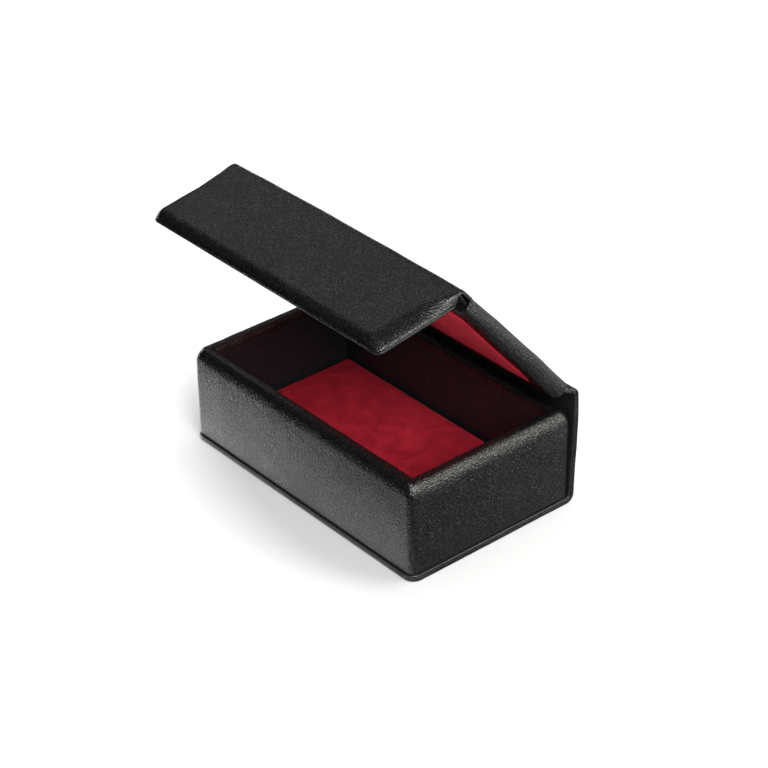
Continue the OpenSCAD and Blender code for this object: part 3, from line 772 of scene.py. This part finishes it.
# Pairs of a place in metres from the tray's middle and the brightness of the painted glow there.
PAINTED_TABLE_GLOW = ((0.045, 0.03), (0.07, 0.42))
# Painted reflections: pairs of a place in metres along a way across the table and the brightness that glossy
# rays see there. The three are multiplied.
PAINTED_REFLECTION_SIDE = ((-0.12, 0.55), (-0.085, 0.2), (-0.028, 0.08), (-0.016, 0.5), (-0.006, 0.72), (0.03, 0.75),
                 (0.11, 1.9))
PAINTED_REFLECTION_FRONT = ((0.035, 1.05), (0.052, 0.8), (0.061, 0.04), (0.067, 0.0))
PAINTED_REFLECTION_RIGHT = ((0.055, 1.4), (0.073, 0.65), (0.092, 0.22), (0.13, 0.12), (0.25, 1.5))
PAINTED_BRIGHT_WAY = (-0.766, -0.643, 0)
FRONT_WAY = (-0.04, -1, 0)
RIGHT_WAY = (1, 0, 0)
GLOW_SHAPE = (0.62, 1, 1)
GLOW_MIDDLE = (-0.012, 0, 0)
bpy.ops.mesh.primitive_plane_add(size=TABLE_SIZE, location=(0, 0, 0))
table = bpy.context.object
table.name = "table"
table_white = bpy.data.materials.new("table_white")
table_white.use_nodes = True
nodes = table_white.node_tree.nodes
links = table_white.node_tree.links
nodes.clear()
ray = nodes.new("ShaderNodeLightPath")
place = nodes.new("ShaderNodeTexCoord")
matt = nodes.new("ShaderNodeBsdfDiffuse")
matt.inputs["Color"].default_value = TABLE_WHITE


def distance_along(way):
    """Nodes that give how far a place on the table lies along a way."""
    made = nodes.new("ShaderNodeVectorMath")
    made.operation = "DOT_PRODUCT"
    made.inputs[1].default_value = way
    links.new(place.outputs["Object"], made.inputs[0])
    return made.outputs["Value"]


def read_off(value, known):
    """Nodes that read a value off a list of (place, number), as along() does."""
    total = None
    for (start, low_level), (stop, high_level) in zip(known, known[1:]):
        part = nodes.new("ShaderNodeMapRange")
        part.inputs["From Min"].default_value = start
        part.inputs["From Max"].default_value = stop
        part.inputs["To Min"].default_value = 0 if total else low_level
        part.inputs["To Max"].default_value = high_level - low_level if total else high_level
        links.new(value, part.inputs["Value"])
        if total:
            added = nodes.new("ShaderNodeMath")
            links.new(total, added.inputs[0])
            links.new(part.outputs["Result"], added.inputs[1])
            total = added.outputs["Value"]
        else:
            total = part.outputs["Result"]
    return total


# The painted reflection, made of the three graded brightnesses.
painted_reflection = read_off(distance_along(PAINTED_BRIGHT_WAY), PAINTED_REFLECTION_SIDE)
for way, known in ((FRONT_WAY, PAINTED_REFLECTION_FRONT), (RIGHT_WAY, PAINTED_REFLECTION_RIGHT)):
    part = read_off(distance_along(way), known)
    product = nodes.new("ShaderNodeMath")
    product.operation = "MULTIPLY"
    links.new(painted_reflection, product.inputs[0])
    links.new(part, product.inputs[1])
    painted_reflection = product.outputs["Value"]
mirrored = nodes.new("ShaderNodeMath")
mirrored.operation = "MULTIPLY"
links.new(ray.outputs["Is Glossy Ray"], mirrored.inputs[0])
links.new(painted_reflection, mirrored.inputs[1])
narrowed = nodes.new("ShaderNodeVectorMath")
narrowed.operation = "MULTIPLY_ADD"
narrowed.inputs[1].default_value = GLOW_SHAPE
narrowed.inputs[2].default_value = GLOW_MIDDLE
links.new(place.outputs["Object"], narrowed.inputs[0])
away = nodes.new("ShaderNodeVectorMath")
away.operation = "LENGTH"
links.new(narrowed.outputs["Vector"], away.inputs[0])
# Camera rays see the painted glow that whitens the table away from the box; glossy rays see the painted
# reflection.
seen = nodes.new("ShaderNodeMath")
seen.operation = "MULTIPLY_ADD"
links.new(read_off(away.outputs["Value"], PAINTED_TABLE_GLOW), seen.inputs[1])
links.new(ray.outputs["Is Camera Ray"], seen.inputs[0])
links.new(mirrored.outputs["Value"], seen.inputs[2])
painted_glow = nodes.new("ShaderNodeEmission")
links.new(seen.outputs["Value"], painted_glow.inputs["Strength"])
gone = nodes.new("ShaderNodeEmission")
gone.inputs["Strength"].default_value = 0
# Glossy rays get no light from the matt table, only the painted reflection.
for_mirror = nodes.new("ShaderNodeMixShader")
links.new(ray.outputs["Is Glossy Ray"], for_mirror.inputs["Fac"])
links.new(matt.outputs["BSDF"], for_mirror.inputs[1])
links.new(gone.outputs["Emission"], for_mirror.inputs[2])
added = nodes.new("ShaderNodeAddShader")
links.new(for_mirror.outputs["Shader"], added.inputs[0])
links.new(painted_glow.outputs["Emission"], added.inputs[1])
end = nodes.new("ShaderNodeOutputMaterial")
links.new(added.outputs["Shader"], end.inputs["Surface"])
table.data.materials.append(table_white)


def soft_light(name, turn, height, distance, size, power, colour=(1, 1, 1)):
    """A square soft light aimed at the box: turn degrees round it, height degrees above the table."""
    data = bpy.data.lights.new(name, "AREA")
    data.shape = "SQUARE"
    data.size = size
    data.energy = power
    data.color = colour
    lamp = bpy.data.objects.new(name, data)
    bpy.context.scene.collection.objects.link(lamp)
    a = math.radians(turn)
    e = math.radians(height)
    way = Vector((math.sin(a) * math.cos(e), -math.cos(a) * math.cos(e), math.sin(e)))
    lamp.location = way * distance
    lamp.rotation_mode = "QUATERNION"
    lamp.rotation_quaternion = way.to_track_quat("Z", "Y")
    return lamp


WARM = (1, 0.98, 0.89)
soft_light("back_right_light", 126, 5, 1.2, 0.55, 6.6, WARM)
soft_light("back_left_light", -113, 47, 1.6, 0.75, 1.1)
soft_light("side_light", 126, 44, 1.2, 0.42, 1.15, WARM)
soft_light("front_right_light", 70, 38, 1.5, 0.8, 20)
soft_light("high_light", 160, 57, 1.6, 1.1, 9).visible_glossy = False

# The room: its light on the box, what glossy leather mirrors of it, and the white behind the box.
ROOM_LIGHT = 0.65
ROOM_MIRRORED = 0.035
world = bpy.data.worlds.new("room")
bpy.context.scene.world = world
world.use_nodes = True
nodes = world.node_tree.nodes
links = world.node_tree.links
nodes.clear()
ray = nodes.new("ShaderNodeLightPath")
room = nodes.new("ShaderNodeBackground")
level = nodes.new("ShaderNodeMapRange")
level.inputs["To Min"].default_value = ROOM_LIGHT
level.inputs["To Max"].default_value = ROOM_MIRRORED
links.new(ray.outputs["Is Glossy Ray"], level.inputs["Value"])
links.new(level.outputs["Result"], room.inputs["Strength"])
white = nodes.new("ShaderNodeBackground")
white.inputs["Strength"].default_value = 1.0
choose = nodes.new("ShaderNodeMixShader")
links.new(ray.outputs["Is Camera Ray"], choose.inputs["Fac"])
links.new(room.outputs["Background"], choose.inputs[1])
links.new(white.outputs["Background"], choose.inputs[2])
end = nodes.new("ShaderNodeOutputWorld")
links.new(choose.outputs["Shader"], end.inputs["Surface"])
bpy.context.scene.view_settings.view_transform = "Standard"
